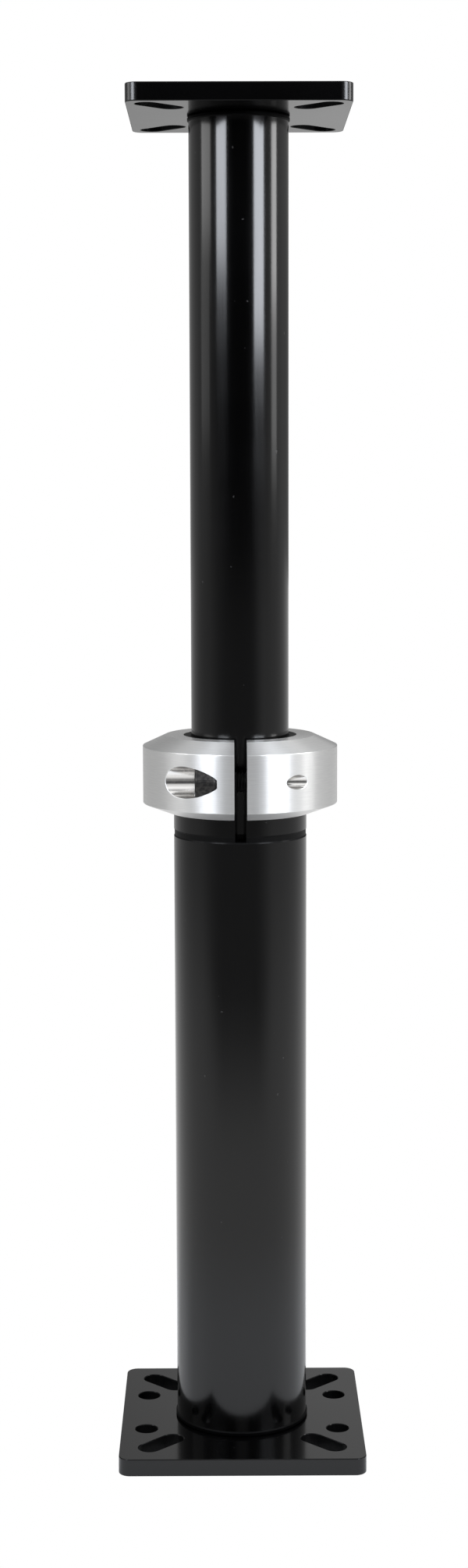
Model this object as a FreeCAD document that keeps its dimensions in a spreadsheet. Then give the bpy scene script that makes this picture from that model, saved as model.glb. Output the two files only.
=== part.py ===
import FreeCAD, Part
import math
import os
import Sketcher

# Adjustable clamping post: a square base plate carries a fixed lower tube, an upper tube with a
# smaller square plate slides and turns inside it, and a split collar squeezes a slotted sleeve to lock it.
# Millimetres. +Z is up, the origin is the middle of the underside of the base plate and the split
# of the collar faces -Y. The post is drawn with the upper tube pulled most of the way out.

doc = FreeCAD.newDocument("ClampingPost")
dims = doc.addObject("Spreadsheet::Sheet", "Dims")

DIMENSIONS = [
    # plates
    ("base_side", 152.4),
    ("top_side", 131.8),
    ("plate_thick", 10.8),
    ("plate_corner", 7.0),
    ("plate_edge", 0.6),
    ("edge_break", 0.4),
    ("hole_dia", 14.0),
    ("hole_pitch_long", 120.6),
    ("hole_pitch_short", 55.6),
    ("slot_width", 14.0),
    ("slot_run", 14.0),
    ("base_slot_end", 57.5),
    ("top_slot_end", 53.5),
    # tubes
    ("lower_outer", 82.5),
    ("lower_bore", 69.9),
    ("lower_top", 386.9),
    ("upper_outer", 60.3),
    ("upper_bore", 50.3),
    ("upper_bottom", 292.0),
    ("post_top", 821.4),
    ("tube_edge", 0.5),
    # plugs that close the tubes and carry the plates
    ("plug_flange", 3.0),
    ("plug_overhang", 0.75),
    ("plug_depth", 25.0),
    ("plug_clear", 0.025),
    ("base_plug_bore", 16.0),
    ("top_plug_bore", 12.0),
    ("base_screw_circle", 46.0),
    ("top_screw_circle", 32.0),
    # countersunk plate screws
    ("base_screw_dia", 8.0),
    ("top_screw_dia", 6.0),
    ("screw_clear", 0.25),
    ("screw_length", 28.0),
    # slotted sleeve
    ("sleeve_bottom", 348.0),
    ("sleeve_bore", 60.5),
    ("groove_height", 2.8),
    ("groove_depth", 0.35),
    ("groove_flank", 0.9),
    ("ring_height", 11.3),
    ("sleeve_slit", 6.8),
    ("neck_recess", 0.4),
    ("stop_thick", 4.0),
    ("stop_outer", 69.0),
    ("stop_bore", 61.5),
    # split collar
    ("collar_outer", 120.6),
    ("collar_bore", 69.95),
    ("collar_height", 48.0),
    ("collar_split", 7.6),
    ("top_slope_run", 14.2),
    ("top_slope_drop", 6.6),
    ("foot_slope_run", 16.2),
    ("foot_slope_rise", 6.1),
    ("clamp_offset", 49.2),
    ("counterbore_dia", 19.3),
    ("counterbore_floor", 14.2),
    ("clearance_dia", 13.5),
    ("thread_dia", 12.8),
    ("thread_end", 19.0),
    ("pilot_dia", 8.7),
    # clamp screw and washer
    ("clamp_dia", 12.7),
    ("clamp_length", 31.75),
    ("clamp_head_dia", 19.05),
    ("clamp_head_height", 12.7),
    ("clamp_head_edge", 1.0),
    ("clamp_key", 9.5),
    ("clamp_key_depth", 6.3),
    ("washer_dia", 19.0),
    ("washer_bore", 13.1),
    ("washer_thick", 0.8),
    # guide at the foot of the upper tube
    ("guide_outer", 69.7),
    ("guide_bore", 60.4),
    ("guide_height", 30.0),
    ("snap_outer", 66.5),
    ("snap_seat", 57.3),
    ("snap_thick", 2.0),
    ("snap_gap", 9.0),
    ("foot_flange_dia", 66.5),
    ("foot_flange", 4.0),
    ("buffer_dia", 50.0),
    ("buffer_thick", 8.0),
    ("buffer_screw_dia", 6.0),
    ("buffer_recess_dia", 20.0),
    ("buffer_recess", 5.0),
    ("button_dia", 12.0),
    ("button_height", 3.3),
    ("button_length", 20.0),
    ("button_key", 4.0),
    ("button_key_depth", 2.0),
]


class Length:
    """A length that knows both its value and the sheet expression that drives it."""

    def __init__(self, value, text):
        self.value = value
        self.text = text

    def joined(self, other, sign, value):
        text = other.text if isinstance(other, Length) else repr(float(other))
        return Length(value, f"({self.text} {sign} {text})")

    def __add__(self, other):
        return self.joined(other, "+", self.value + plain(other))

    def __sub__(self, other):
        return self.joined(other, "-", self.value - plain(other))

    def __mul__(self, other):
        return self.joined(other, "*", self.value * plain(other))

    def __truediv__(self, other):
        return self.joined(other, "/", self.value / plain(other))

    def __neg__(self):
        return Length(-self.value, f"(0 - {self.text})")


def plain(item):
    return item.value if isinstance(item, Length) else float(item)


for row, (name, value) in enumerate(DIMENSIONS, start=1):
    dims.set(f"A{row}", name)
    dims.set(f"B{row}", str(value))
    dims.setAlias(f"B{row}", name)
doc.recompute()
D = {name: Length(float(dims.get(name)), f"Dims.{name}") for name, _ in DIMENSIONS}

# Heights worked out from the driving dimensions
tube_foot = D["plate_thick"] + D["plug_flange"]
post_end = D["post_top"] - D["plug_flange"]
ring_foot = D["lower_top"] + D["groove_height"]
collar_foot = ring_foot + D["ring_height"]
collar_top = collar_foot + D["collar_height"]
guide_foot = D["upper_bottom"]
snap_foot = guide_foot + D["guide_height"]
THROUGH = D["base_side"]


def bind(item, prop, length):
    """Drive one property by the sheet."""
    item.setExpression(prop, length.text)


def new_body(label, height=None):
    """Body of one piece, lifted so that its own XY plane lies at the given height."""
    body = doc.addObject("PartDesign::Body", label)
    body.Label = label
    if height is not None:
        bind(body, "Placement.Base.z", height)
    return body


def origin_item(body, role):
    for item in body.Origin.OriginFeatures:
        if item.Role == role:
            return item
    raise ValueError(role)


def new_sketch(body, name, role, lift=None):
    """Sketch on one of the body's own origin planes, shifted along the plane's normal."""
    sketch = body.newObject("Sketcher::SketchObject", name)
    sketch.AttachmentSupport = [(origin_item(body, role), "")]
    sketch.MapMode = "FlatFace"
    if lift is not None:
        bind(sketch, "AttachmentOffset.Base.z", lift)
    return sketch


def point(across, up):
    return FreeCAD.Vector(plain(across), plain(up), 0)


def pin(sketch, kind, args, length):
    """Sketch dimension driven by the sheet."""
    index = sketch.addConstraint(Sketcher.Constraint(kind, *args, length.value))
    bind(sketch, f"Constraints[{index}]", length)


def hold(sketch, geometry, vertex, across, up):
    """Fix one point of a sketch at (across, up); a plain zero puts it on that axis."""
    for length, kind, axis in ((across, "DistanceX", -2), (up, "DistanceY", -1)):
        if isinstance(length, Length):
            pin(sketch, kind, (-1, 1, geometry, vertex), length)
        else:
            sketch.addConstraint(Sketcher.Constraint("PointOnObject", geometry, vertex, axis))


def add_outline(sketch, corners):
    """Closed outline of straight edges through corners given as (across, up)."""
    first = sketch.GeometryCount
    count = len(corners)
    for index in range(count):
        start = point(*corners[index])
        end = point(*corners[(index + 1) % count])
        sketch.addGeometry(Part.LineSegment(start, end), False)
    for index in range(count):
        following = first + (index + 1) % count
        sketch.addConstraint(Sketcher.Constraint("Coincident", first + index, 2, following, 1))
    for index, (across, up) in enumerate(corners):
        hold(sketch, first + index, 1, across, up)


def add_box(sketch, left, right, low, high):
    add_outline(sketch, [(left, low), (right, low), (right, high), (left, high)])


def add_circle(sketch, diameter, across=0, up=0):
    circle = Part.Circle(point(across, up), FreeCAD.Vector(0, 0, 1), diameter.value / 2)
    index = sketch.addGeometry(circle, False)
    pin(sketch, "Diameter", (index,), diameter)
    hold(sketch, index, 3, across, up)


def add_hexagon(sketch, across_flats, middle=None):
    """Hexagonal key hole whose centre lies on the sketch's first axis."""
    tip = across_flats / 3 ** 0.5
    side = tip / 2
    half = across_flats / 2
    if middle is None:
        middle = across_flats * 0
    add_outline(sketch, [
        (middle + tip, 0), (middle + side, half), (middle - side, half),
        (middle - tip, 0), (middle - side, -half), (middle + side, -half)])


def add_diagonal_slot(sketch, width, near, far):
    """Round-ended slot along the diagonal, between end centres (near, near) and (far, far)."""
    up_axis = FreeCAD.Vector(0, 0, 1)
    radius = width.value / 2
    shift = FreeCAD.Vector(-radius, radius, 0) / 2 ** 0.5
    quarter = math.pi / 4
    near_spot = point(near, near)
    far_spot = point(far, far)
    far_circle = Part.Circle(far_spot, up_axis, radius)
    near_circle = Part.Circle(near_spot, up_axis, radius)
    pieces = [
        Part.ArcOfCircle(far_circle, quarter - math.pi / 2, quarter + math.pi / 2),
        Part.LineSegment(far_spot + shift, near_spot + shift),
        Part.ArcOfCircle(near_circle, quarter + math.pi / 2, quarter + 3 * math.pi / 2),
        Part.LineSegment(near_spot - shift, far_spot - shift)]
    for piece in pieces:
        sketch.addGeometry(piece, False)
    for index in range(4):
        sketch.addConstraint(Sketcher.Constraint("Tangent", index, 2, (index + 1) % 4, 1))
    pin(sketch, "Radius", (0,), width / 2)
    hold(sketch, 0, 3, far, far)
    hold(sketch, 2, 3, near, near)


def turned(body, name, corners):
    """Solid turned about the body's Z axis from a half section of (radius, height) corners."""
    sketch = new_sketch(body, f"{name}Section", "XZ_Plane")
    add_outline(sketch, corners)
    turn = body.newObject("PartDesign::Revolution", name)
    turn.Profile = sketch
    turn.ReferenceAxis = (sketch, ["V_Axis"])
    turn.Angle = 360
    body.Tip = turn
    doc.recompute()
    return turn


def padded(body, name, sketch, length):
    pad = body.newObject("PartDesign::Pad", name)
    pad.Profile = sketch
    bind(pad, "Length", length)
    body.Tip = pad
    doc.recompute()
    return pad


def pocketed(body, name, sketch, length, forward=False):
    """Pocket against the sketch's normal, or along it if forward; one that cuts nothing is an error."""
    before = body.Shape.Volume
    pocket = body.newObject("PartDesign::Pocket", name)
    pocket.Profile = sketch
    bind(pocket, "Length", length)
    pocket.Reversed = forward
    body.Tip = pocket
    doc.recompute()
    if body.Shape.Volume > before - 0.01:
        raise ValueError(f"{body.Label}: {name} cuts nothing")
    return pocket


def repeated(body, name, features, count):
    """Repeat features about the body's Z axis."""
    pattern = body.newObject("PartDesign::PolarPattern", name)
    pattern.Originals = features
    pattern.Axis = (origin_item(body, "Z_Axis"), [""])
    pattern.Angle = 360
    pattern.Occurrences = count
    body.Tip = pattern
    doc.recompute()
    return pattern


def rounded(body, name, base, wanted, radius):
    """Fillet on the edges for which wanted(edge) holds."""
    edges = [f"Edge{index}" for index, edge in enumerate(base.Shape.Edges, start=1) if wanted(edge)]
    fillet = body.newObject("PartDesign::Fillet", name)
    fillet.Base = (base, edges)
    bind(fillet, "Radius", radius)
    body.Tip = fillet
    doc.recompute()
    return fillet


def chamfered(body, name, base, wanted, width):
    """Chamfer on the edges for which wanted(edge) holds."""
    edges = [f"Edge{index}" for index, edge in enumerate(base.Shape.Edges, start=1) if wanted(edge)]
    chamfer = body.newObject("PartDesign::Chamfer", name)
    chamfer.Base = (base, edges)
    bind(chamfer, "Size", width)
    body.Tip = chamfer
    doc.recompute()
    return chamfer


def add_plate(label, side, slot_end, height, screw_dia, screw_circle, from_below):
    """Square mounting plate with four diagonal slots and four countersunk holes for its plug's screws."""
    body = new_body(label, height)
    outline = new_sketch(body, "Outline", "XY_Plane")
    add_box(outline, -side / 2, side / 2, -side / 2, side / 2)
    plate = padded(body, "Plate", outline, D["plate_thick"])

    def is_upright(edge):
        return edge.BoundBox.ZLength > plain(D["plate_thick"]) / 2

    def is_rim(edge):
        return edge.BoundBox.ZLength < 0.01

    corners = rounded(body, "Corners", plate, is_upright, D["plate_corner"])
    rounded(body, "Rim", corners, is_rim, D["plate_edge"])
    slot_sketch = new_sketch(body, "SlotOutline", "XY_Plane")
    add_diagonal_slot(slot_sketch, D["slot_width"], slot_end - D["slot_run"], slot_end)
    slot = pocketed(body, "Slot", slot_sketch, D["plate_thick"], forward=True)
    repeated(body, "Slots", [slot], 4)
    bore = screw_dia + D["screw_clear"] * 2
    spot = new_sketch(body, "ScrewSpot", "XY_Plane")
    add_circle(spot, bore, screw_circle / 2, 0)
    hole = pocketed(body, "ScrewHole", spot, D["plate_thick"], forward=True)
    seat_sketch = new_sketch(body, "SeatSection", "XZ_Plane")
    middle = screw_circle / 2
    face = D["plate_thick"] * (0 if from_below else 1)
    inward = 1 if from_below else -1
    depth = screw_dia / 2 + D["screw_clear"]
    seat = add_cone_groove(body, seat_sketch, middle, face, depth, inward)
    repeated(body, "ScrewHoles", [hole, seat], 4)
    return body


def break_openings(body, side, screw_circle):
    """Small chamfer round every slot and bolt hole, on both faces of a plate."""
    inside = plain(side / 2 - D["plate_corner"])
    outside = plain(screw_circle)

    def is_mouth(edge):
        box = edge.BoundBox
        reach = max(abs(box.XMin), abs(box.XMax), abs(box.YMin), abs(box.YMax))
        return box.ZLength < 0.01 and outside < reach < inside

    chamfered(body, "Mouths", body.Tip, is_mouth, D["edge_break"])


def add_cone_groove(body, sketch, middle, face, depth, inward):
    """Countersink of 90 degrees about the upright line at the given distance from the axis."""
    rim = middle + depth * 2
    bottom = face + depth * (2 * inward)
    add_outline(sketch, [(middle, face), (rim, face), (middle, bottom)])
    groove = body.newObject("PartDesign::Groove", "Countersink")
    groove.Profile = sketch
    groove.ReferenceAxis = (sketch, ["Edge3"])
    groove.Angle = 360
    body.Tip = groove
    before = body.Shape.Volume
    doc.recompute()
    if body.Shape.Volume > before - 0.01:
        raise ValueError(f"{body.Label}: countersink cuts nothing")
    return groove


def add_base_plate():
    body = add_plate("base_plate", D["base_side"], D["base_slot_end"], None,
                     D["base_screw_dia"], D["base_screw_circle"], True)
    spots = new_sketch(body, "BoltSpots", "XY_Plane")
    for across in (D["hole_pitch_long"] / 2, -D["hole_pitch_long"] / 2):
        for up in (D["hole_pitch_short"] / 2, -D["hole_pitch_short"] / 2):
            add_circle(spots, D["hole_dia"], across, up)
    pocketed(body, "BoltHoles", spots, D["plate_thick"], forward=True)
    break_openings(body, D["base_side"], D["base_screw_circle"])


def add_top_plate():
    body = add_plate("top_plate", D["top_side"], D["top_slot_end"], D["post_top"],
                     D["top_screw_dia"], D["top_screw_circle"], False)
    break_openings(body, D["top_side"], D["top_screw_circle"])


def add_plug(label, outer, tube_bore, bore, screw_dia, screw_circle, height, upward):
    """Plug of a tube's end: a thin flange under the plate's face and a spigot bonded into the tube."""
    body = new_body(label, height)
    way = 1 if upward else -1
    rim = outer / 2 + D["plug_overhang"]
    soft = D["plug_overhang"]
    spigot = tube_bore / 2 - D["plug_clear"]
    flange = D["plug_flange"] * way
    end = (D["plug_flange"] + D["plug_depth"]) * way
    lead = (D["plug_flange"] + D["plug_depth"] - D["tube_edge"] * 2) * way
    turned(body, "Plug", [
        (bore / 2, 0), (rim - soft, 0), (rim, soft * way), (rim, flange - soft * way),
        (rim - soft, flange), (spigot, flange),
        (spigot, lead), (spigot - D["tube_edge"] * 2, end), (bore / 2, end)])
    spot = new_sketch(body, "TappedSpot", "XY_Plane")
    add_circle(spot, screw_dia + D["plug_clear"] * 2, screw_circle / 2, 0)
    tapped = pocketed(body, "Tapped", spot, D["plug_flange"] + D["plug_depth"], forward=upward)
    repeated(body, "TappedHoles", [tapped], 4)


def add_flat_screws(label, screw_dia, screw_circle, height, upward):
    """Four flat-head socket screws on one circle, entering the plate from its outer face."""
    body = new_body(label, height)
    body.AllowCompound = True
    way = 1 if upward else -1
    middle = screw_circle / 2
    shank = screw_dia / 2
    sunk = D["screw_clear"] * way
    head_end = (D["screw_clear"] + shank) * way
    end = D["screw_length"] * way
    section = new_sketch(body, "ScrewSection", "XZ_Plane")
    add_outline(section, [
        (middle, sunk), (middle + screw_dia, sunk), (middle + shank, head_end),
        (middle + shank, end), (middle, end)])
    screw = body.newObject("PartDesign::Revolution", "Screw")
    screw.Profile = section
    screw.ReferenceAxis = (section, ["Edge5"])
    screw.Angle = 360
    body.Tip = screw
    doc.recompute()
    key_sketch = new_sketch(body, "KeyOutline", "XY_Plane")
    add_hexagon(key_sketch, screw_dia * 0.6, middle)
    key = pocketed(body, "Key", key_sketch, D["screw_clear"] + screw_dia * 0.4, forward=upward)
    repeated(body, "Screws", [screw, key], 4)


def add_lower_tube():
    body = new_body("lower_tube")
    inner = D["lower_bore"] / 2
    outer = D["lower_outer"] / 2
    turned(body, "Tube", [
        (inner, tube_foot), (outer, tube_foot), (outer, D["lower_top"] - D["groove_flank"]),
        (outer - D["groove_depth"], D["lower_top"]), (inner, D["lower_top"])])


def add_clamp_sleeve():
    """Sleeve bonded into the lower tube; its ring sits on the tube, and its slotted neck closes on the post.

    A shallow groove runs round the outside where the ring meets the tube.
    """
    body = new_body("clamp_sleeve")
    bore = D["sleeve_bore"] / 2
    seat = D["lower_bore"] / 2 - D["plug_clear"]
    ring = D["lower_outer"] / 2
    edge = D["tube_edge"]
    neck_top = collar_top - D["neck_recess"]
    turned(body, "Sleeve", [
        (bore, D["sleeve_bottom"]), (seat, D["sleeve_bottom"]), (seat, D["lower_top"]),
        (ring - D["groove_depth"], D["lower_top"]), (ring - D["groove_depth"], ring_foot),
        (ring, ring_foot + D["groove_flank"]), (ring, collar_foot), (seat, collar_foot),
        (seat, neck_top), (bore + edge, neck_top), (bore, neck_top - edge)])
    slit = new_sketch(body, "SlitOutline", "XY_Plane", D["lower_top"])
    add_box(slit, -D["sleeve_slit"] / 2, D["sleeve_slit"] / 2, -D["lower_outer"], -D["upper_bore"] / 2)
    pocketed(body, "Slit", slit, THROUGH, forward=True)


def add_stop_ring():
    """Rubber ring under the sleeve that the guide meets when the post is fully out."""
    body = new_body("stop_ring", D["sleeve_bottom"] - D["stop_thick"])
    inner = D["stop_bore"] / 2
    outer = D["stop_outer"] / 2
    turned(body, "Ring", [(inner, 0), (outer, 0), (outer, D["stop_thick"]), (inner, D["stop_thick"])])


def add_clamp_collar():
    """Split collar with sloping shoulders; a cross hole holds the clamp screw."""
    body = new_body("clamp_collar", collar_foot)
    bore = D["collar_bore"] / 2
    outer = D["collar_outer"] / 2
    high = D["collar_height"]
    turned(body, "Ring", [
        (bore, 0), (outer - D["foot_slope_run"], 0), (outer, D["foot_slope_rise"]),
        (outer, high - D["top_slope_drop"]), (outer - D["top_slope_run"], high), (bore, high)])
    cross_holes = [
        ("Counterbore", D["counterbore_dia"], -D["counterbore_floor"], THROUGH, False),
        ("Clearance", D["clearance_dia"], None, THROUGH, False),
        ("Thread", D["thread_dia"], None, D["thread_end"], True),
        ("PilotHole", D["pilot_dia"], None, THROUGH, True)]
    for name, diameter, start, depth, forward in cross_holes:
        spot = new_sketch(body, f"{name}Spot", "YZ_Plane", start)
        add_circle(spot, diameter, -D["clamp_offset"], high / 2)
        pocketed(body, name, spot, depth, forward)
    split = new_sketch(body, "SplitOutline", "XY_Plane")
    add_box(split, -D["collar_split"] / 2, D["collar_split"] / 2, -D["collar_outer"], -D["upper_bore"] / 2)
    cut = pocketed(body, "Split", split, THROUGH, forward=True)

    def is_outer(edge):
        box = edge.BoundBox
        rings = box.ZLength < 0.01 and box.XLength > plain(outer)
        mouths = box.YMax < plain(-D["clamp_offset"]) + plain(D["counterbore_dia"]) and box.XLength > 1
        return rings or (mouths and box.ZLength > plain(D["pilot_dia"]) / 2)

    chamfered(body, "EdgeBreak", cut, is_outer, D["edge_break"] / 2)


def lay_along_x(body, start):
    """Turn a piece modelled along +Z so that it lies along +X in the collar's cross hole."""
    body.Placement = FreeCAD.Placement(FreeCAD.Vector(), FreeCAD.Rotation(FreeCAD.Vector(0, 1, 0), 90))
    bind(body, "Placement.Base.x", start)
    bind(body, "Placement.Base.y", -D["clamp_offset"])
    bind(body, "Placement.Base.z", collar_foot + D["collar_height"] / 2)


def add_clamp_washer():
    body = new_body("clamp_washer")
    inner = D["washer_bore"] / 2
    outer = D["washer_dia"] / 2
    thick = D["washer_thick"]
    turned(body, "Washer", [(inner, 0), (outer, 0), (outer, thick), (inner, thick)])
    lay_along_x(body, -D["counterbore_floor"] - D["washer_thick"])


def add_clamp_screw():
    """Socket head cap screw; its own origin is the underside of the head."""
    body = new_body("clamp_screw")
    head = D["clamp_head_dia"] / 2
    high = D["clamp_head_height"]
    edge = D["clamp_head_edge"]
    shank = D["clamp_dia"] / 2
    length = D["clamp_length"]
    turned(body, "Screw", [
        (0, -high), (head - edge, -high), (head, edge - high), (head, 0), (shank, 0),
        (shank, length - edge), (shank - edge, length), (0, length)])
    key_sketch = new_sketch(body, "KeyOutline", "XY_Plane", -high)
    add_hexagon(key_sketch, D["clamp_key"])
    pocketed(body, "Key", key_sketch, D["clamp_key_depth"], forward=True)
    lay_along_x(body, -D["counterbore_floor"] - D["washer_thick"])


def add_upper_tube():
    body = new_body("upper_tube")
    inner = D["upper_bore"] / 2
    outer = D["upper_outer"] / 2
    seat = D["snap_seat"] / 2
    groove_top = snap_foot + D["snap_thick"]
    turned(body, "Tube", [
        (inner, guide_foot), (outer, guide_foot), (outer, snap_foot), (seat, snap_foot),
        (seat, groove_top), (outer, groove_top), (outer, post_end), (inner, post_end)])


def add_guide_ring():
    """Plastic ring that centres the foot of the upper tube in the lower tube."""
    body = new_body("guide_ring", guide_foot)
    inner = D["guide_bore"] / 2
    outer = D["guide_outer"] / 2
    high = D["guide_height"]
    edge = D["tube_edge"] * 2
    turned(body, "Guide", [
        (inner, 0), (outer - edge, 0), (outer, edge), (outer, high - edge),
        (outer - edge, high), (inner, high)])


def add_guide_snap_ring():
    """Spring ring in the upper tube's groove that keeps the guide ring on."""
    body = new_body("guide_snap_ring", snap_foot)
    inner = D["snap_seat"] / 2
    outer = D["snap_outer"] / 2
    thick = D["snap_thick"]
    turned(body, "SnapRing", [(inner, 0), (outer, 0), (outer, thick), (inner, thick)])
    gap = new_sketch(body, "GapOutline", "XY_Plane")
    add_box(gap, -D["snap_gap"] / 2, D["snap_gap"] / 2, D["upper_bore"] / 2, D["snap_outer"])
    pocketed(body, "Gap", gap, THROUGH, forward=True)


def add_guide_end_plug():
    """Plug in the foot of the upper tube; its flange carries the guide ring."""
    body = new_body("guide_end_plug", guide_foot)
    spigot = D["upper_bore"] / 2 - D["plug_clear"]
    flange = D["foot_flange_dia"] / 2
    thread = D["buffer_screw_dia"] / 2 + D["plug_clear"]
    turned(body, "Plug", [
        (thread, -D["foot_flange"]), (flange, -D["foot_flange"]), (flange, 0),
        (spigot, 0), (spigot, D["plug_depth"]), (thread, D["plug_depth"])])


def add_bottom_buffer():
    """Rubber disc that lands on the base plug when the post is fully in."""
    buffer_foot = guide_foot - D["foot_flange"] - D["buffer_thick"]
    body = new_body("bottom_buffer", buffer_foot)
    outer = D["buffer_dia"] / 2
    recess = D["buffer_recess_dia"] / 2
    bore = D["buffer_screw_dia"] / 2 + D["plug_clear"]
    turned(body, "Buffer", [
        (recess, 0), (outer, 0), (outer, D["buffer_thick"]), (bore, D["buffer_thick"]),
        (bore, D["buffer_recess"]), (recess, D["buffer_recess"])])


def add_buffer_screw():
    """Button-head screw up through the buffer into the end plug."""
    seat = guide_foot - D["foot_flange"] - D["buffer_thick"] + D["buffer_recess"]
    body = new_body("buffer_screw", seat)
    head = D["button_dia"] / 2
    shank = D["buffer_screw_dia"] / 2
    high = D["button_height"]
    turned(body, "Screw", [
        (0, -high), (head * 0.6, -high), (head * 0.9, high * -0.6), (head, 0),
        (shank, 0), (shank, D["button_length"]), (0, D["button_length"])])
    key_sketch = new_sketch(body, "KeyOutline", "XY_Plane", -high)
    add_hexagon(key_sketch, D["button_key"])
    pocketed(body, "Key", key_sketch, D["button_key_depth"], forward=True)


add_base_plate()
add_plug("base_plug", D["lower_outer"], D["lower_bore"], D["base_plug_bore"],
         D["base_screw_dia"], D["base_screw_circle"], D["plate_thick"], True)
add_flat_screws("base_plate_screws", D["base_screw_dia"], D["base_screw_circle"], None, True)
add_lower_tube()
add_clamp_sleeve()
add_stop_ring()
add_clamp_collar()
add_clamp_washer()
add_clamp_screw()
add_upper_tube()
add_guide_ring()
add_guide_snap_ring()
add_guide_end_plug()
add_bottom_buffer()
add_buffer_screw()
add_plug("top_plug", D["upper_outer"], D["upper_bore"], D["top_plug_bore"],
         D["top_screw_dia"], D["top_screw_circle"], D["post_top"], False)
add_flat_screws("top_plate_screws", D["top_screw_dia"], D["top_screw_circle"],
                D["post_top"] + D["plate_thick"], False)
add_top_plate()

doc.recompute()
for item in doc.Objects:
    if "Invalid" in item.State or "Error" in item.State:
        raise RuntimeError(f"{item.Name} failed to compute: {item.State}")

os.makedirs("parts", exist_ok=True)
for body in doc.findObjects("PartDesign::Body"):
    shape = body.Shape
    if shape.isNull() or not shape.isValid():
        raise RuntimeError(f"{body.Label} has no valid shape")
    shape.exportStep(f"parts/{body.Label}.step")
    print(body.Label, len(shape.Solids), round(shape.Volume, 1))
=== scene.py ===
import bpy, math
from mathutils import Euler, Matrix


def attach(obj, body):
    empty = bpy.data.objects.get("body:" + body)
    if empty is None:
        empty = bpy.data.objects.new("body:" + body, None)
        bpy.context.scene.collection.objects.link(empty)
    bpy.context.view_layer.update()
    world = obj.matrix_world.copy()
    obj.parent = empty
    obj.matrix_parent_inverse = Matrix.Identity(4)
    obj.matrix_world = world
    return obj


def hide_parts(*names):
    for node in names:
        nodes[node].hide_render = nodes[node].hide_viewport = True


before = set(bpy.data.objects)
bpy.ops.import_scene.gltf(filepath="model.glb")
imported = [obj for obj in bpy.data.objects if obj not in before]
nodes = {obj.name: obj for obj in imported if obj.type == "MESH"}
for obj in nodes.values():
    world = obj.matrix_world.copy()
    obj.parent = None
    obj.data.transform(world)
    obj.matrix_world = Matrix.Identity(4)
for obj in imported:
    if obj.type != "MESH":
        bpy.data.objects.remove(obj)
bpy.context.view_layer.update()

MM = 0.001
scene = bpy.context.scene


# ---------------------------------------------------------------- places on the CAD model, in metres

BASE_HALF_SIDE = 76.2 * MM
TOP_HALF_SIDE = 65.9 * MM
COLLAR_RADIUS = 60.0 * MM
GROOVE = (386.0 * MM, 390.6 * MM)  # heights of the lower tube's groove
SCREW_Y, SCREW_Z = -49.2 * MM, 425.0 * MM  # the clamp screw's axis runs along X here
SCREW_SEAT = -15.0 * MM  # where the underside of its head lies along X
BORED_RADIUS = 9.75 * MM  # the collar's counterbore, with a little to spare


# ---------------------------------------------------------------- shader building

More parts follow.
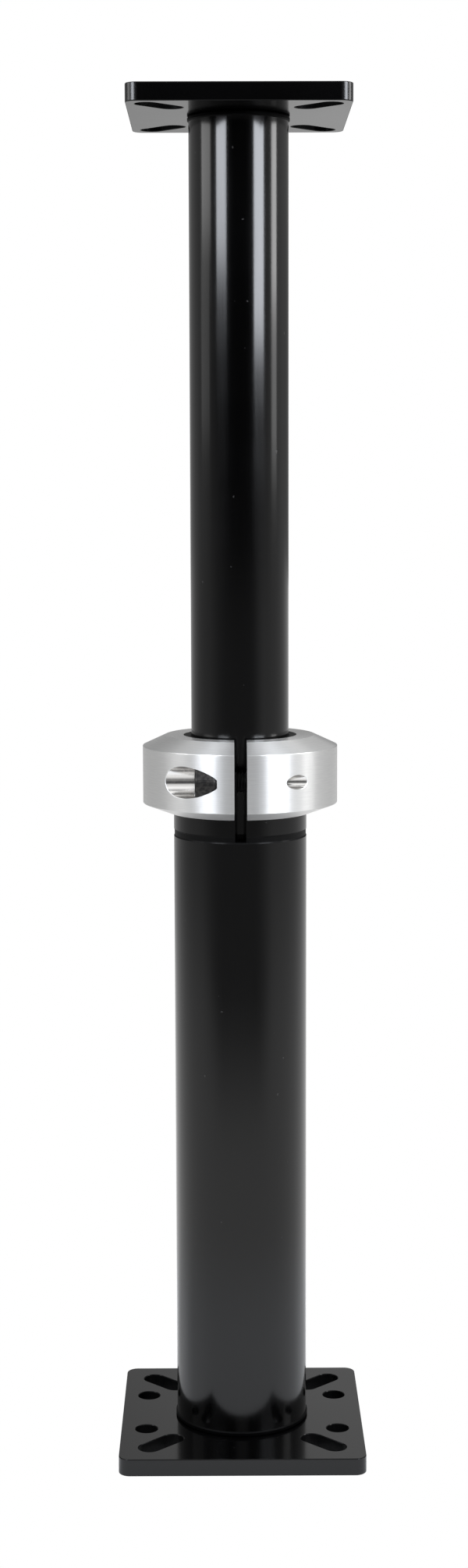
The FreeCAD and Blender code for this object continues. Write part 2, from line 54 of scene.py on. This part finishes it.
class Shader:
    """Short-hand for building the node tree of a material or of the world."""

    def __init__(self, owner, output="ShaderNodeOutputMaterial"):
        owner.use_nodes = True
        self.owner = owner
        self.tree = owner.node_tree
        self.tree.nodes.clear()
        self.out = self.tree.nodes.new(output)

    def put(self, socket, value):
        if isinstance(value, bpy.types.NodeSocket):
            self.tree.links.new(value, socket)
        elif value is not None:
            socket.default_value = value

    def node(self, kind, inputs=None, **settings):
        item = self.tree.nodes.new("ShaderNode" + kind)
        for key, value in settings.items():
            setattr(item, key, value)
        for key, value in (inputs or {}).items():
            self.put(item.inputs[key], value)
        return item

    def math(self, operation, first, second=None):
        return self.node("Math", {0: first, 1: second}, operation=operation).outputs[0]

    def position(self):
        """Where a point is at rest: each piece's own coordinates are the frame's, whatever the pose."""
        return self.node("TexCoord").outputs["Object"]

    def steepness(self):
        """How far a face looks up or down: 0 on an upright wall, 1 on a level face."""
        _, _, up = self.parts(self.node("NewGeometry").outputs["True Normal"])
        return self.math("ABSOLUTE", up)

    def parts(self, vector):
        item = self.node("SeparateXYZ", {0: vector})
        return item.outputs[0], item.outputs[1], item.outputs[2]

    def vector(self, x=0.0, y=0.0, z=0.0):
        return self.node("CombineXYZ", {0: x, 1: y, 2: z}).outputs[0]

    def scaled(self, vector, factors):
        item = self.node("VectorMath", {0: vector, 1: factors}, operation="MULTIPLY")
        return item.outputs[0]

    def length(self, first, second):
        """Length of the sum of two parts at right angles."""
        squares = self.math("ADD", self.math("MULTIPLY", first, first), self.math("MULTIPLY", second, second))
        return self.math("SQRT", squares)

    def radius(self, position):
        """Distance of a point from the Z axis."""
        x, y, _ = self.parts(position)
        return self.length(x, y)

    def noise(self, vector, scale, detail=2.0, roughness=0.5):
        inputs = {"Vector": vector, "Scale": scale, "Detail": detail, "Roughness": roughness}
        return self.node("TexNoise", inputs).outputs["Fac"]

    def ramp(self, value, low, high, out_low=0.0, out_high=1.0):
        item = self.node("MapRange", {0: value, 1: low, 2: high, 3: out_low, 4: out_high},
                         interpolation_type="SMOOTHSTEP")
        return item.outputs[0]

    def between(self, factor, first, second):
        """Number between first and second."""
        return self.node("Mix", {0: factor, 2: first, 3: second}, data_type="FLOAT").outputs[0]

    def mix(self, factor, first, second):
        """Colour between first and second."""
        return self.node("Mix", {0: factor, 6: first, 7: second}, data_type="RGBA").outputs[2]

    def blend(self, factor, first, second):
        """Surface between first and second."""
        return self.node("MixShader", {0: factor, 1: first, 2: second}).outputs[0]

    def bump(self, height, strength, distance):
        return self.node("Bump", {"Strength": strength, "Distance": distance, "Height": height}).outputs[0]

    def edge_wear(self, position, reach):
        """1 on the worn parts of convex edges, 0 elsewhere."""
        rounded = self.node("Bevel", {"Radius": reach}, samples=6).outputs[0]
        true_normal = self.node("NewGeometry").outputs["Normal"]
        alike = self.node("VectorMath", {0: rounded, 1: true_normal}, operation="DOT_PRODUCT")
        turned = self.ramp(alike.outputs["Value"], 0.995, 0.93)
        patchy = self.ramp(self.noise(position, 260.0, 3.0), 0.42, 0.68)
        return self.math("MULTIPLY", turned, patchy)

    def principled(self, inputs):
        return self.node("BsdfPrincipled", inputs).outputs[0]

    def finish(self, surface):
        self.tree.links.new(surface, self.out.inputs[0])
        return self.owner


def material(name):
    return Shader(bpy.data.materials.new(name))


def grey(value):
    return (value, value, value, 1.0)


# ---------------------------------------------------------------- materials

WEAR_REACH = 0.4 * MM
TUBE_GRAIN = (900.0, 900.0, 25.0)  # noise scales in X, Y, Z: drawn out along the tube
PLATE_GRAIN = (1100.0, 1100.0, 1100.0)


def groove_matte(s, where, groove):
    """How matte a tube is: in its groove, and on its sloped and end faces."""
    _, _, height = s.parts(where)
    low, high = groove
    soft = 0.1 * MM
    recess = s.math("MULTIPLY", s.ramp(height, low - soft, low + soft),
                    s.ramp(height, high - soft, high + soft, 1.0, 0.0))
    sloped = s.ramp(s.steepness(), 0.15, 0.3)
    return s.math("MAXIMUM", s.math("MULTIPLY", recess, 0.85), s.math("MULTIPLY", sloped, 0.95))


def plate_matte(s, where, half_side):
    """How matte a square plate is, in its slots, holes and bevels, and where its upright corners are."""
    x, y, _ = s.parts(where)
    x, y = s.math("ABSOLUTE", x), s.math("ABSOLUTE", y)
    tilt = s.steepness()
    wall = s.ramp(tilt, 0.6, 0.3)
    corner = s.ramp(s.math("MINIMUM", x, y), half_side - 8 * MM, half_side - 6 * MM)
    inner = s.ramp(s.math("MAXIMUM", x, y), half_side - 9 * MM, half_side - 7 * MM, 1.0, 0.0)
    bevel = s.math("MULTIPLY", s.ramp(tilt, 0.2, 0.35), s.ramp(tilt, 0.9, 0.97, 1.0, 0.0))
    matte = s.math("MAXIMUM", s.math("MULTIPLY", s.math("MULTIPLY", wall, inner), 0.9),
                   s.math("MULTIPLY", bevel, 0.7))
    return matte, s.math("MULTIPLY", wall, corner)


def black_anodised(name, grain_scales, groove=None, half_side=None, shine=0.4, roughest=0.16):
    """Satin black anodised aluminium, for a tube with a groove or a square plate of known half side."""
    s = material(name)
    where = s.position()
    cloud = s.noise(where, 14.0, 3.0)
    grain = s.noise(s.scaled(where, grain_scales), 1.0, 2.0)
    speck = s.ramp(s.noise(where, 420.0, 0.0), 0.884, 0.896)
    wear = s.edge_wear(where, WEAR_REACH)
    tint = s.mix(cloud, (0.00010, 0.00010, 0.00013, 1), (0.0005, 0.0005, 0.0006, 1))
    tint = s.mix(s.math("MULTIPLY", wear, 0.012), tint, grey(0.22))
    tint = s.mix(s.math("MULTIPLY", speck, 0.05), tint, grey(0.4))
    rough = s.ramp(cloud, 0.25, 0.75, roughest - 0.035, roughest)
    rough = s.math("ADD", rough, s.math("MULTIPLY", s.math("ADD", grain, -0.5), 0.04))
    rough = s.math("ADD", rough, s.math("MULTIPLY", wear, 0.10))
    matte = None
    if groove:
        matte = groove_matte(s, where, groove)
    if half_side:
        matte, corner = plate_matte(s, where, half_side)
        rough = s.math("ADD", rough, s.math("MULTIPLY", corner, 0.10))
    normal = s.bump(grain, 0.02 if half_side else 0.03, 0.01 * MM)
    satin = s.principled({
        "Base Color": tint, "Roughness": rough, "Specular IOR Level": shine, "IOR": 1.5, "Normal": normal})
    if matte is None:
        return s.finish(satin)
    raw = s.principled({
        "Base Color": tint, "Roughness": s.ramp(grain, 0.3, 0.7, 0.55, 0.65), "Specular IOR Level": 0.08,
        "IOR": 1.5, "Normal": normal})
    return s.finish(s.blend(matte, satin, raw))


def bored_aluminium(s, where):
    """Smooth bright wall of a hole along X, and a mask of where it is on the collar."""
    _, across, height = s.parts(where)
    off = s.length(s.math("ADD", across, -SCREW_Y), s.math("ADD", height, -SCREW_Z))
    inside = s.math("MULTIPLY", s.ramp(off, BORED_RADIUS, BORED_RADIUS + 0.08 * MM, 1.0, 0.0),
                    s.ramp(s.radius(where), COLLAR_RADIUS, COLLAR_RADIUS + 0.12 * MM, 1.0, 0.0))
    marks = s.noise(s.scaled(where, (2600.0, 300.0, 300.0)), 1.0, 2.0)
    tint = s.mix(marks, (0.70, 0.69, 0.68, 1), (0.84, 0.83, 0.81, 1))
    surface = s.principled({
        "Base Color": tint, "Metallic": 1.0, "Roughness": s.ramp(marks, 0.3, 0.7, 0.17, 0.23),
        "Normal": s.bump(marks, 0.12, 0.01 * MM)})
    return surface, inside


def turned_aluminium(name, bored=False):
    """Bright aluminium turned about Z: fine rings on every face, and reflections drawn out across them."""
    s = material(name)
    where = s.position()
    x, y, height = s.parts(where)
    up = s.steepness()
    level = s.ramp(up, 0.3, 0.6)
    outward = s.math("MULTIPLY", s.radius(where), level)
    across_rings = s.vector(0.0, outward, height)
    rings = s.noise(across_rings, 5200.0, 3.0, 0.6)
    broad = s.noise(across_rings, 620.0, 2.0)
    cloud = s.noise(where, 30.0, 3.0)
    turn = s.math("ARCTAN2", s.math("ABSOLUTE", x), s.math("MULTIPLY", y, -1.0))
    along_rings = s.scaled(s.vector(turn, outward, height), (5.0, 1900.0, 1900.0))
    streak = s.noise(along_rings, 1.0, 4.0, 0.6)
    tint = s.mix(rings, (0.61, 0.61, 0.603, 1), (0.725, 0.725, 0.717, 1))
    tint = s.mix(s.ramp(streak, 0.35, 0.65, 0.0, 0.45), tint, grey(0.56))
    tint = s.mix(s.math("MULTIPLY", cloud, 0.25), tint, (0.67, 0.67, 0.665, 1))
    fine = s.math("ADD", s.ramp(broad, 0.3, 0.7, 0.29, 0.31), s.math("MULTIPLY", rings, 0.04))
    fine = s.math("ADD", fine, s.math("MULTIPLY", level, 0.02))
    fine = s.math("ADD", fine, s.ramp(streak, 0.3, 0.7, -0.02, 0.03))
    fine = s.math("ADD", fine, s.math("MULTIPLY", s.ramp(up, 0.94, 0.98), -0.12))
    normal = s.bump(rings, 0.07, 0.01 * MM)
    tangent = s.node("Tangent", direction_type="RADIAL", axis="Z").outputs[0]

    def lobe(rough, anisotropic):
        return s.principled({
            "Base Color": tint, "Metallic": 1.0, "Roughness": rough, "Anisotropic": anisotropic,
            "Anisotropic Rotation": 0.25, "Tangent": tangent, "Normal": normal})

    coarse = s.math("ADD", fine, 0.30)
    turned = s.blend(s.ramp(cloud, 0.3, 0.7, 0.17, 0.23), lobe(fine, 0.86), lobe(coarse, 0.5))
    if not bored:
        return s.finish(turned)
    smooth, inside = bored_aluminium(s, where)
    return s.finish(s.blend(inside, turned, smooth))


def black_oxide(name, shaded_from=None):
    """Blackened steel. Past the given point along X, where the thread lies inside the collar, its colour is
    darker: painted shade.
    """
    s = material(name)
    where = s.position()
    cloud = s.ramp(s.noise(where, 520.0, 3.0), 0.35, 0.65)
    fine = s.noise(where, 2600.0, 2.0)
    wear = s.edge_wear(where, WEAR_REACH)
    tint = s.mix(cloud, (0.017, 0.0165, 0.0165, 1), (0.040, 0.038, 0.036, 1))
    tint = s.mix(s.math("MULTIPLY", wear, 0.4), tint, grey(0.25))
    # painted shade: from this point on along X, inside the collar, the screw's colour is darkened
    if shaded_from is not None:
        along, _, _ = s.parts(where)
        tint = s.mix(s.ramp(along, shaded_from, shaded_from + 1 * MM), tint, grey(0.006))
    return s.finish(s.principled({
        "Base Color": tint, "Metallic": 0.85, "Roughness": s.ramp(fine, 0.3, 0.7, 0.36, 0.50),
        "Normal": s.bump(fine, 0.15, 0.02 * MM)}))


def plain_mass(name, dark, light, smoothest, roughest, scale, metallic=0.0):
    """Moulded or rolled stuff with a fine even grain."""
    s = material(name)
    where = s.position()
    cloud = s.noise(where, scale * 0.08, 3.0)
    fine = s.noise(where, scale, 3.0)
    return s.finish(s.principled({
        "Base Color": s.mix(cloud, dark, light), "Metallic": metallic,
        "Roughness": s.ramp(fine, 0.3, 0.7, smoothest, roughest), "Normal": s.bump(fine, 0.2, 0.03 * MM)}))


tube_black = black_anodised("tube_black", TUBE_GRAIN, groove=GROOVE)
base_black = black_anodised("base_black", PLATE_GRAIN, half_side=BASE_HALF_SIDE)
top_black = black_anodised("top_black", PLATE_GRAIN, half_side=TOP_HALF_SIDE)
plug_black = black_anodised("plug_black", TUBE_GRAIN, shine=0.04, roughest=0.5)
collar_metal = turned_aluminium("collar_metal", bored=True)
plug_metal = turned_aluminium("plug_metal")
bolt_black = black_oxide("bolt_black")
clamp_bolt_black = black_oxide("clamp_bolt_black", shaded_from=SCREW_SEAT)
spring_metal = plain_mass("spring_metal", grey(0.20), grey(0.30), 0.30, 0.42, 1500.0, 1.0)
acetal_white = plain_mass("acetal_white", (0.80, 0.79, 0.75, 1), (0.86, 0.85, 0.82, 1), 0.42, 0.55, 900.0)
rubber_black = plain_mass("rubber_black", grey(0.018), grey(0.028), 0.72, 0.9, 700.0)

LOOKS = {
    "base_plate": base_black, "top_plate": top_black, "base_plug": plug_black, "top_plug": plug_black,
    "lower_tube": tube_black, "upper_tube": tube_black, "clamp_sleeve": tube_black,
    "clamp_collar": collar_metal, "guide_end_plug": plug_metal,
    "clamp_screw": bolt_black, "clamp_washer": bolt_black, "buffer_screw": bolt_black,
    "base_plate_screws": bolt_black, "top_plate_screws": bolt_black,
    "guide_snap_ring": spring_metal, "guide_ring": acetal_white,
    "stop_ring": rubber_black, "bottom_buffer": rubber_black}
for node_name, look in LOOKS.items():
    for holder in nodes[node_name].material_slots:
        holder.material = look


# ---------------------------------------------------------------- mesh building

def lofted(name, rings, look):
    """Mesh through closed rings of equally many points; both ends are closed."""
    count = len(rings[0])
    points = [point for ring in rings for point in ring]
    faces = [tuple(range(count))[::-1]]
    for step in range(len(rings) - 1):
        first = step * count
        for index in range(count):
            after = (index + 1) % count
            faces.append((first + index, first + after, first + count + after, first + count + index))
    last = (len(rings) - 1) * count
    faces.append(tuple(range(last, last + count)))
    mesh = bpy.data.meshes.new(name)
    mesh.from_pydata(points, [], faces)
    mesh.materials.append(look)
    mesh.validate()
    item = bpy.data.objects.new(name, mesh)
    scene.collection.objects.link(item)
    return item


def join(name, items):
    """One object out of several."""
    with bpy.context.temp_override(active_object=items[0], selected_editable_objects=items):
        bpy.ops.object.join()
    items[0].name = name
    items[0].data.name = name
    return items[0]


# ---------------------------------------------------------------- clamp screw: socket head cap screw along +X

HEAD_RADIUS, HEAD_HEIGHT = 9.525 * MM, 12.7 * MM
SHANK_RADIUS, SHANK_LENGTH, PLAIN_LENGTH = 6.35 * MM, 31.75 * MM, 5.0 * MM
PITCH = 25.4 / 13 * MM
THREAD_DEPTH = 0.61 * PITCH
POINT_LENGTH = 1.2 * MM  # the chamfered end of the thread
KEY_RADIUS, KEY_DEPTH = 4.75 * MM, 6.3 * MM  # from the middle to a flat, and how deep the socket is
FLUTES, FLUTE_DEPTH = 44, 0.06 * MM
HEAD_POINTS, SHANK_POINTS, RINGS_PER_PITCH = 264, 72, 14
SHARP_EDGE = math.radians(32)


def ring(x, reach, count):
    """Closed ring of points at x from the screw's seat; reach gives its radius at each turn."""
    points = []
    for index in range(count):
        turn = 2 * math.pi * index / count
        size = reach(turn)
        points.append((SCREW_SEAT + x, SCREW_Y + size * math.cos(turn), SCREW_Z + size * math.sin(turn)))
    return points


def plain(size):
    return lambda turn: size


def hexagon(size):
    return lambda turn: size / math.cos((turn + math.pi / 6) % (math.pi / 3) - math.pi / 6)


def knurled(turn):
    return HEAD_RADIUS - FLUTE_DEPTH * (0.5 - 0.5 * math.cos(FLUTES * turn)) ** 0.7


def threaded(x):
    """Radius of the left-handed thread at x, with a run-in of one pitch and a chamfered point."""
    run_in = min(1.0, (x - PLAIN_LENGTH) / PITCH)
    run_out = max(0.0, (x - (SHANK_LENGTH - POINT_LENGTH)) / POINT_LENGTH)

    def reach(turn):
        along = (x / PITCH + turn / (2 * math.pi)) % 1.0
        flank = min(1.0, max(0.0, abs(along - 0.5) * 2.5 - 0.125))
        return SHANK_RADIUS - THREAD_DEPTH * flank * run_in - POINT_LENGTH * run_out * 0.9 * (1 - flank * 0.8)

    return reach


def screw_head(name, look):
    """Head from its seat, round the lightly knurled side and over the rim, to the bottom of the socket."""
    top = -HEAD_HEIGHT
    side_from, side_length = -0.9 * MM, top + 2.2 * MM
    socket_floor = top + KEY_DEPTH
    outline = [
        (0, plain(SHANK_RADIUS)), (0, plain(HEAD_RADIUS - 0.6 * MM)),
        (-0.35 * MM, plain(HEAD_RADIUS - 0.3 * MM))]
    outline += [(side_from + side_length * step / 8, knurled) for step in range(9)]
    outline += [
        (top + 0.95 * MM, plain(HEAD_RADIUS - FLUTE_DEPTH)),
        (top + 0.55 * MM, plain(HEAD_RADIUS - 0.35 * MM)),
        (top + 0.2 * MM, plain(HEAD_RADIUS - 0.75 * MM)), (top, plain(HEAD_RADIUS - 1.3 * MM)),
        (top, plain(KEY_RADIUS + 0.95 * MM)), (top + 0.4 * MM, hexagon(KEY_RADIUS)),
        (socket_floor, hexagon(KEY_RADIUS)), (socket_floor + 0.8 * MM, plain(KEY_RADIUS / 2)),
        (socket_floor + 1.2 * MM, plain(0.1 * MM))]
    return lofted(name, [ring(x, reach, HEAD_POINTS) for x, reach in outline], look)


def screw_shank(name, look):
    """Shank from inside the head: a plain length, then the thread."""
    rings = [ring(x, plain(SHANK_RADIUS), SHANK_POINTS) for x in (-0.3 * MM, PLAIN_LENGTH)]
    for step in range(1, int((SHANK_LENGTH - PLAIN_LENGTH) / PITCH * RINGS_PER_PITCH) + 1):
        x = PLAIN_LENGTH + step * PITCH / RINGS_PER_PITCH
        rings.append(ring(x, threaded(x), SHANK_POINTS))
    return lofted(name, rings, look)


def detailed_screw(name, look):
    screw = join(name, [screw_head(name + "_head", look), screw_shank(name + "_shank", look)])
    for face in screw.data.polygons:
        face.use_smooth = True
    screw.data.set_sharp_from_angle(angle=SHARP_EDGE)
    return screw


clamp_screw = detailed_screw("clamp_screw_threaded", clamp_bolt_black)
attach(clamp_screw, "clamp_screw")
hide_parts("clamp_screw")


# ---------------------------------------------------------------- floor, world, lights and camera

def studio_floor():
    """Pale floor: white when seen directly, lit paper near the post, and further away a glowing sweep whose
    glow is a painted pool of light, near full strength close to the post and fading with distance, most in
    front.
    """
    half, drop = 12.0, 0.3 * MM
    mesh = bpy.data.meshes.new("studio_floor")
    corners = [(-half, -half, -drop), (half, -half, -drop), (half, half, -drop), (-half, half, -drop)]
    mesh.from_pydata(corners, [], [(0, 1, 2, 3)])
    floor = bpy.data.objects.new("studio_floor", mesh)
    scene.collection.objects.link(floor)
    s = material("studio_paper_and_painted_glow")
    where = s.node("NewGeometry").outputs["Position"]
    across, depth, _ = s.parts(where)
    away = s.radius(where)
    to_right = s.math("DIVIDE", across, away)
    to_back = s.math("DIVIDE", depth, away)
    far_left = s.ramp(to_back, -0.88, -0.2, 0.22, 0.48)
    far_right = s.ramp(to_back, -0.93, -0.5, 0.22, 0.62)
    far = s.between(s.ramp(to_right, -0.1, 0.1), far_left, far_right)
    far = s.math("ADD", far, s.ramp(to_back, 0.2, 0.9, 0.0, 0.08))
    near_edge = s.ramp(to_back, -0.9, 0.5, 0.65, 0.35)
    far_edge = s.ramp(to_back, -0.9, -0.3, 1.35, 2.4)
    # painted light: the floor glows here as a painted pool, near full strength by the post and dimmer further
    # out, dimmest in front
    painted_pool = s.node("MapRange", {0: away, 1: near_edge, 2: far_edge, 3: 0.98, 4: far},
                  interpolation_type="SMOOTHSTEP").outputs[0]
    paper = s.node("BsdfDiffuse", {"Color": grey(0.66)}).outputs[0]
    painted_glow = s.node("Emission", {"Color": grey(1.0), "Strength": painted_pool}).outputs[0]
    white = s.node("Emission", {"Color": grey(1.0), "Strength": 1.0}).outputs[0]
    lit = s.blend(s.ramp(away, 0.22, 0.5), paper, painted_glow)
    seen = s.node("LightPath").outputs["Is Camera Ray"]
    mesh.materials.append(s.finish(s.blend(seen, lit, white)))


def studio_world():
    """White when seen directly; in reflections a dim room.

    The room is darkest behind the camera, has a pale patch above that, and is brightest overhead.
    """
    scene.world = bpy.data.worlds.new("studio")
    s = Shader(scene.world, "ShaderNodeOutputWorld")
    direction = s.node("TexCoord").outputs["Generated"]
    side, depth, height = s.parts(direction)
    left = s.ramp(depth, -0.96, 0.0, 0.012, 0.47)
    right = s.ramp(depth, -0.96, -0.1, 0.012, 0.55)
    low = s.between(s.ramp(side, -0.15, 0.15), left, right)
    back = s.ramp(side, -0.2, 0.2, 0.42, 0.24)
    low = s.between(s.ramp(depth, 0.35, 0.85), low, back)
    middle = s.math("MULTIPLY", s.ramp(side, -0.12, 0.08, 0.36, 0.62), s.ramp(depth, -0.97, -0.5, 0.06, 1.0))
    room = s.between(s.ramp(height, 0.05, 0.33), low, middle)
    room = s.between(s.ramp(height, 0.45, 0.80), room, 0.44)
    room = s.between(s.ramp(height, 0.91, 0.97), room, 1.4)
    patch = s.math("MULTIPLY", s.ramp(height, 0.20, 0.36), s.ramp(height, 0.80, 0.89, 1.0, 0.0))
    patch = s.math("MULTIPLY", patch, s.ramp(s.math("ABSOLUTE", side), 0.10, 0.25, 0.85, 0.0))
    room = s.math("ADD", room, s.math("MULTIPLY", patch, s.ramp(depth, -0.5, -0.7)))
    dim = s.node("Background", {"Color": grey(1.0), "Strength": room}).outputs[0]
    white = s.node("Background", {"Color": grey(1.0), "Strength": 1.0}).outputs[0]
    s.finish(s.blend(s.node("LightPath").outputs["Is Camera Ray"], dim, white))


def softbox(name, azimuth, distance, low, high, width, radiance, colour=(1.0, 1.0, 1.0)):
    """Upright soft light facing the post, with its lower and upper edge at low and high.

    Azimuth is in degrees from the camera's side, positive to its right.
    """
    angle = math.radians(azimuth)
    data = bpy.data.lights.new(name, "AREA")
    data.shape = "RECTANGLE"
    data.size = width
    data.size_y = high - low
    data.energy = radiance * math.pi * width * (high - low)
    data.color = colour
    lamp = bpy.data.objects.new(name, data)
    lamp.location = (distance * math.sin(angle), -distance * math.cos(angle), (low + high) / 2)
    lamp.rotation_euler = Euler((math.radians(90), 0, angle), "XYZ")
    lamp.visible_camera = False
    scene.collection.objects.link(lamp)


def camera():
    """Camera in front of the post, a little above the collar, tipped down. The angles are in radians."""
    place = Matrix.Translation((-10.05 * MM, -1483.3 * MM, 608.2 * MM))
    heading = Matrix.Rotation(-0.00421, 4, "Z")
    tilt = Matrix.Rotation(math.pi / 2 - 0.1277, 4, "X")
    lean = Matrix.Rotation(-0.00291, 4, "Z")
    data = bpy.data.cameras.new("camera")
    data.sensor_width = 36.0
    data.lens = 55.21
    data.clip_start = 0.01
    data.clip_end = 100.0
    item = bpy.data.objects.new("camera", data)
    item.matrix_world = place @ heading @ tilt @ lean
    scene.collection.objects.link(item)
    scene.camera = item


studio_floor()
studio_world()
COOL = (0.93, 0.97, 1.04)
softbox("softbox_left", -40.5, 1.5, 0.86, 2.3, 0.62, 15.0, COOL)
softbox("softbox_right", 46.5, 1.5, 0.765, 2.3, 0.64, 16.5, COOL)
softbox("side_left", -81, 1.6, 0.91, 2.2, 0.76, 3.7)
softbox("side_left_low", -85, 1.6, 0.66, 0.91, 0.72, 0.8)
softbox("side_right", 88, 1.6, 0.82, 2.2, 0.44, 8.6)
softbox("side_right_low", 88, 1.6, 0.62, 0.82, 0.44, 2.5)
camera()
scene.view_settings.view_transform = "Standard"
